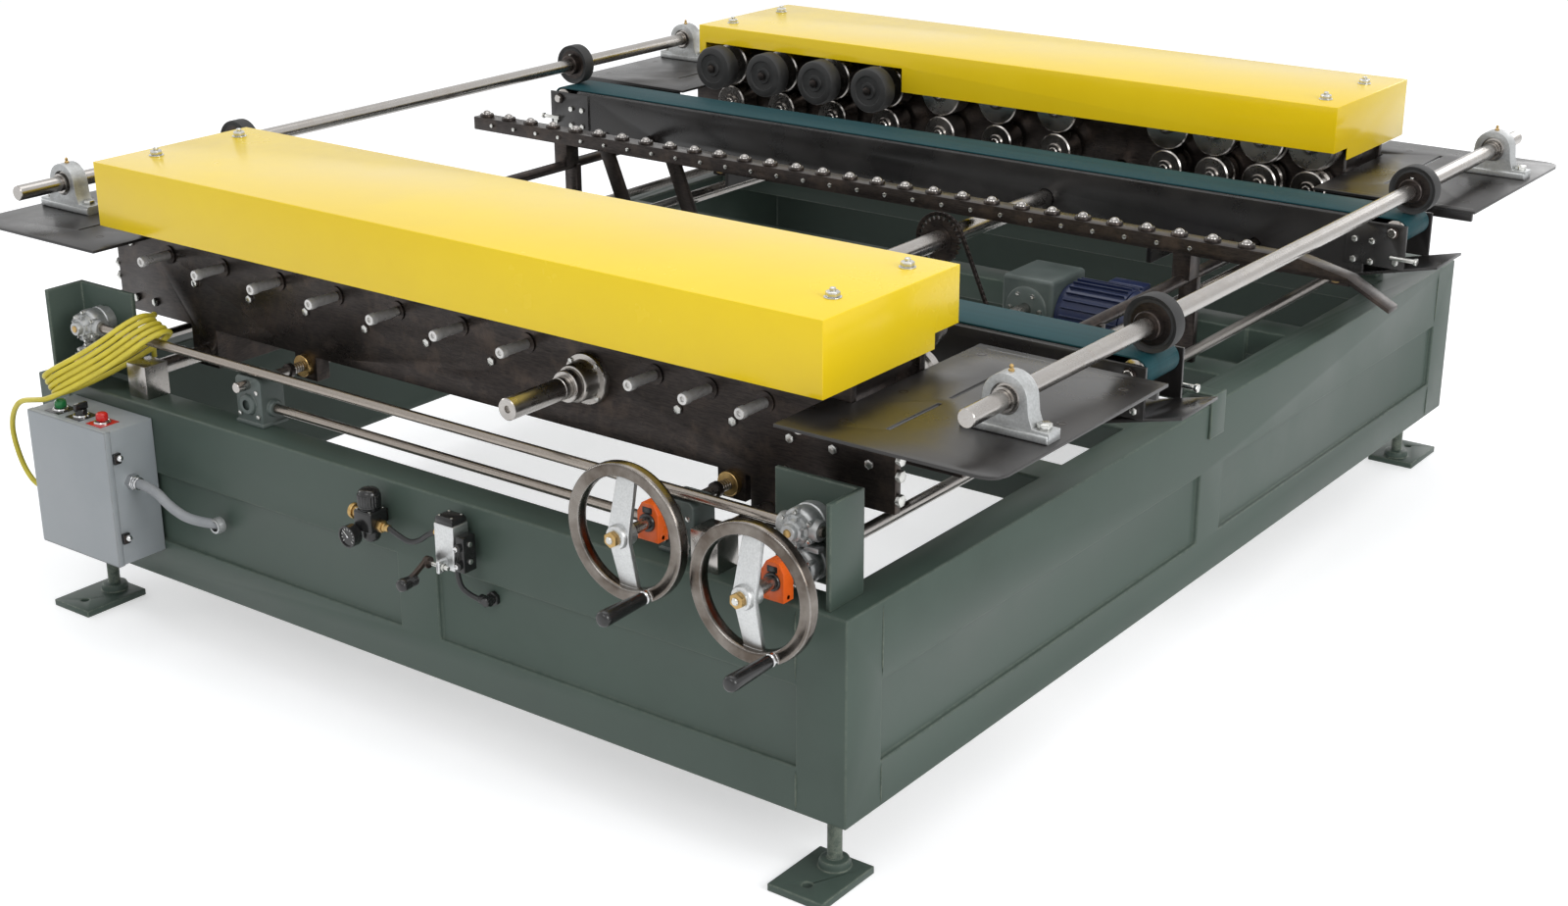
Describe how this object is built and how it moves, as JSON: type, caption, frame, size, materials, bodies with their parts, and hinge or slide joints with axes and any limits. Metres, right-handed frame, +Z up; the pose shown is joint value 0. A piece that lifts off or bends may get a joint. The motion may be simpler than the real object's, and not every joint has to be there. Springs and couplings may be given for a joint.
{
  "type": "duct roll former",
  "caption": "Two mirrored roll forming heads that slide apart on a welded base, with belt conveyors, a ball rail, handwheels and a box of controls with a hanging cord.",
  "frame": {"origin": "on the floor under the middle of the base", "axes": "+X the feed direction, -Y the handwheel side, +Z up"},
  "size_m": [2.557, 2.7823, 0.968],
  "materials": {
    "base_paint": "matt grey-green paint",
    "zinc": "zinc-plated steel",
    "ground_steel": "ground steel bar",
    "dark_plate": "dark brown-black satin plate",
    "cast_grey": "grey painted casting",
    "orange_plastic": "orange plastic",
    "motor_paint": "dark blue paint",
    "chain_steel": "oiled roller chain",
    "polished": "bright polished steel",
    "light_grey": "light grey enclosure paint",
    "grey_tube": "grey sheathed flexible conduit",
    "yellow_cord": "yellow cord jacket",
    "black_plastic": "black plastic",
    "bare_aluminium": "bare aluminium body",
    "black_rubber": "black rubber",
    "yellow_paint": "bright gloss yellow paint",
    "roll_steel": "hardened roll steel",
    "teal_belt": "teal belt with a fine weave",
    "green_plastic": "green push button",
    "red_plastic": "red push button"
  },
  "bodies": {
    "frame": {"base_frame": "base_paint", "levelling_feet": "zinc", "guide_rails": "ground_steel", "corner_brackets": "dark_plate", "far_drive_gearboxes": "cast_grey", "near_drive_gearboxes": "cast_grey", "screw_bearings": "dark_plate", "position_indicators": "orange_plastic", "gear_reducer": "cast_grey", "drive_motor": "motor_paint", "drive_chain": "chain_steel", "ball_rail": "dark_plate", "ball_transfers": "polished", "control_box": "light_grey", "conduit": "grey_tube", "cord_run": "yellow_cord", "cord_hank": "yellow_cord", "air_regulator": "black_plastic", "air_valve": "bare_aluminium", "air_hoses": "black_rubber"},
    "main_drive_shaft": {"main_drive_shaft": "ground_steel"},
    "output_shaft": {"reducer_output_shaft": "ground_steel"},
    "near_screw_left": {"near_screw_left": "ground_steel"},
    "near_screw_right": {"near_screw_right": "polished"},
    "far_screw_left": {"far_screw_left": "ground_steel"},
    "far_screw_right": {"far_screw_right": "polished"},
    "near_grip": {"near_grip": "black_plastic"},
    "far_grip": {"far_grip": "black_plastic"},
    "upper_cross_shaft": {"upper_cross_shaft": "ground_steel"},
    "lower_cross_shaft": {"lower_cross_shaft": "ground_steel"},
    "entry_hold_shaft": {"entry_hold_shaft": "ground_steel"},
    "exit_hold_shaft": {"exit_hold_shaft": "ground_steel"},
    "far_entry_wheel": {"far_entry_wheel": "black_rubber"},
    "far_exit_wheel": {"far_exit_wheel": "black_rubber"},
    "door": {"control_box_door": "light_grey"},
    "start_button": {"start_button": "green_plastic"},
    "selector": {"selector_switch": "black_plastic"},
    "stop_button": {"stop_button": "red_plastic"},
    "regulator_knob": {"regulator_knob": "black_plastic"},
    "valve_lever": {"valve_lever": "black_plastic"},
    "near_head": {"near_head_frame": "dark_plate", "near_gear_case": "dark_plate", "near_cover": "yellow_paint", "near_tables": "dark_plate", "near_rolls": "roll_steel", "near_belt_bed": "dark_plate", "near_belt": "teal_belt", "near_bearings": "cast_grey"},
    "near_drive_roller": {"near_drive_roller": "ground_steel"},
    "near_idler_roller": {"near_idler_roller": "ground_steel"},
    "far_head": {"far_head_frame": "dark_plate", "far_gear_case": "dark_plate", "far_cover": "yellow_paint", "far_tables": "dark_plate", "far_rolls": "roll_steel", "far_belt_bed": "dark_plate", "far_belt": "teal_belt", "far_bearings": "cast_grey"},
    "far_drive_roller": {"far_drive_roller": "ground_steel"},
    "far_idler_roller": {"far_idler_roller": "ground_steel"}
  },
  "joints": [
    {"name": "near_head_slide", "type": "slide", "parent": "frame", "child": "near_head", "axis": [0, 1, 0], "range_m": [0, 0.25]},
    {"name": "far_head_slide", "type": "slide", "parent": "frame", "child": "far_head", "axis": [0, -1, 0], "range_m": [0, 0.25]},
    {"name": "near_screw_right_turn", "type": "hinge", "parent": "frame", "child": "near_screw_right", "pos_m": [0.645, -1.3, 0.592], "axis": [0, -1, 0], "range_deg": [0, 7088.6]},
    {"name": "near_screw_left_turn", "type": "hinge", "parent": "frame", "child": "near_screw_left", "pos_m": [-0.419, -1.1, 0.592], "axis": [0, -1, 0], "range_deg": [0, 7088.6]},
    {"name": "lower_cross_shaft_turn", "type": "hinge", "parent": "frame", "child": "lower_cross_shaft", "pos_m": [0, -1.194, 0.544], "axis": [1, 0, 0], "range_deg": [0, 7088.6]},
    {"name": "far_screw_right_turn", "type": "hinge", "parent": "frame", "child": "far_screw_right", "pos_m": [0.899, -1.3, 0.554], "axis": [0, 1, 0], "range_deg": [0, 7088.6]},
    {"name": "far_screw_left_turn", "type": "hinge", "parent": "frame", "child": "far_screw_left", "pos_m": [-0.899, -1.1, 0.554], "axis": [0, 1, 0], "range_deg": [0, 7088.6]},
    {"name": "upper_cross_shaft_turn", "type": "hinge", "parent": "frame", "child": "upper_cross_shaft", "pos_m": [0, -1.219, 0.622], "axis": [1, 0, 0], "range_deg": [0, 7088.6]},
    {"name": "near_grip_turn", "type": "hinge", "parent": "near_screw_right", "child": "near_grip", "pos_m": [0.69064, -1.4, 0.49412], "axis": [0, 1, 0], "continuous": true},
    {"name": "far_grip_turn", "type": "hinge", "parent": "far_screw_right", "child": "far_grip", "pos_m": [0.94464, -1.4, 0.45612], "axis": [0, 1, 0], "continuous": true},
    {"name": "main_drive_turn", "type": "hinge", "parent": "frame", "child": "main_drive_shaft", "pos_m": [0.328, 0, 0.716], "axis": [0, 1, 0], "continuous": true},
    {"name": "output_shaft_turn", "type": "hinge", "parent": "frame", "child": "output_shaft", "pos_m": [0.43, 0.1, 0.53], "axis": [0, 1, 0], "continuous": true},
    {"name": "entry_hold_turn", "type": "hinge", "parent": "near_head", "child": "entry_hold_shaft", "pos_m": [-1.168, 0, 0.846], "axis": [0, 1, 0], "continuous": true},
    {"name": "exit_hold_turn", "type": "hinge", "parent": "near_head", "child": "exit_hold_shaft", "pos_m": [1.168, 0, 0.846], "axis": [0, 1, 0], "continuous": true},
    {"name": "far_entry_wheel_turn", "type": "hinge", "parent": "far_head", "child": "far_entry_wheel", "pos_m": [-1.168, 0.574, 0.846], "axis": [0, 1, 0], "continuous": true},
    {"name": "far_exit_wheel_turn", "type": "hinge", "parent": "far_head", "child": "far_exit_wheel", "pos_m": [1.168, 0.574, 0.846], "axis": [0, 1, 0], "continuous": true},
    {"name": "door_hinge", "type": "hinge", "parent": "frame", "child": "door", "pos_m": [-0.907, -1.3845, 0.344], "axis": [0, 0, -1], "range_deg": [0, 110]},
    {"name": "start_button_press", "type": "slide", "parent": "frame", "child": "start_button", "axis": [0, 0, -1], "range_m": [0, 0.005], "stiffness_N_per_m": 600, "springref_m": -0.004},
    {"name": "stop_button_press", "type": "slide", "parent": "frame", "child": "stop_button", "axis": [0, 0, -1], "range_m": [0, 0.005], "stiffness_N_per_m": 600, "springref_m": -0.004},
    {"name": "selector_turn", "type": "hinge", "parent": "frame", "child": "selector", "pos_m": [-0.785, -1.345, 0.485], "axis": [0, 0, 1], "range_deg": [-45, 45]},
    {"name": "regulator_knob_turn", "type": "hinge", "parent": "frame", "child": "regulator_knob", "pos_m": [-0.009, -1.304, 0.466], "axis": [0, 0, 1], "range_deg": [-720, 720]},
    {"name": "valve_lever_turn", "type": "hinge", "parent": "frame", "child": "valve_lever", "pos_m": [0.167, -1.336, 0.412], "axis": [-1, 0, 0], "range_deg": [0, 30]},
    {"name": "near_drive_roller_turn", "type": "hinge", "parent": "near_head", "child": "near_drive_roller", "pos_m": [-1.16, -0.566, 0.7675], "axis": [0, 1, 0], "continuous": true},
    {"name": "near_idler_roller_turn", "type": "hinge", "parent": "near_head", "child": "near_idler_roller", "pos_m": [1.16, -0.566, 0.7675], "axis": [0, 1, 0], "continuous": true},
    {"name": "far_drive_roller_turn", "type": "hinge", "parent": "far_head", "child": "far_drive_roller", "pos_m": [-1.16, 0.566, 0.7675], "axis": [0, 1, 0], "continuous": true},
    {"name": "far_idler_roller_turn", "type": "hinge", "parent": "far_head", "child": "far_idler_roller", "pos_m": [1.16, 0.566, 0.7675], "axis": [0, 1, 0], "continuous": true}
  ],
  "couplings": [
    {"joint": "near_screw_right_turn", "follows": "near_head_slide", "rad_per_m": 494.74},
    {"joint": "near_screw_left_turn", "follows": "near_head_slide", "rad_per_m": 494.74},
    {"joint": "lower_cross_shaft_turn", "follows": "near_head_slide", "rad_per_m": 494.74},
    {"joint": "far_screw_right_turn", "follows": "far_head_slide", "rad_per_m": 494.74},
    {"joint": "far_screw_left_turn", "follows": "far_head_slide", "rad_per_m": 494.74},
    {"joint": "upper_cross_shaft_turn", "follows": "far_head_slide", "rad_per_m": 494.74},
    {"joint": "output_shaft_turn", "follows": "main_drive_turn", "ratio": 1.4054},
    {"joint": "far_entry_wheel_turn", "follows": "entry_hold_turn", "ratio": 1},
    {"joint": "far_exit_wheel_turn", "follows": "exit_hold_turn", "ratio": 1},
    {"joint": "near_drive_roller_turn", "follows": "main_drive_turn", "ratio": 1},
    {"joint": "near_idler_roller_turn", "follows": "main_drive_turn", "ratio": 1},
    {"joint": "far_drive_roller_turn", "follows": "main_drive_turn", "ratio": 1},
    {"joint": "far_idler_roller_turn", "follows": "main_drive_turn", "ratio": 1}
  ]
}
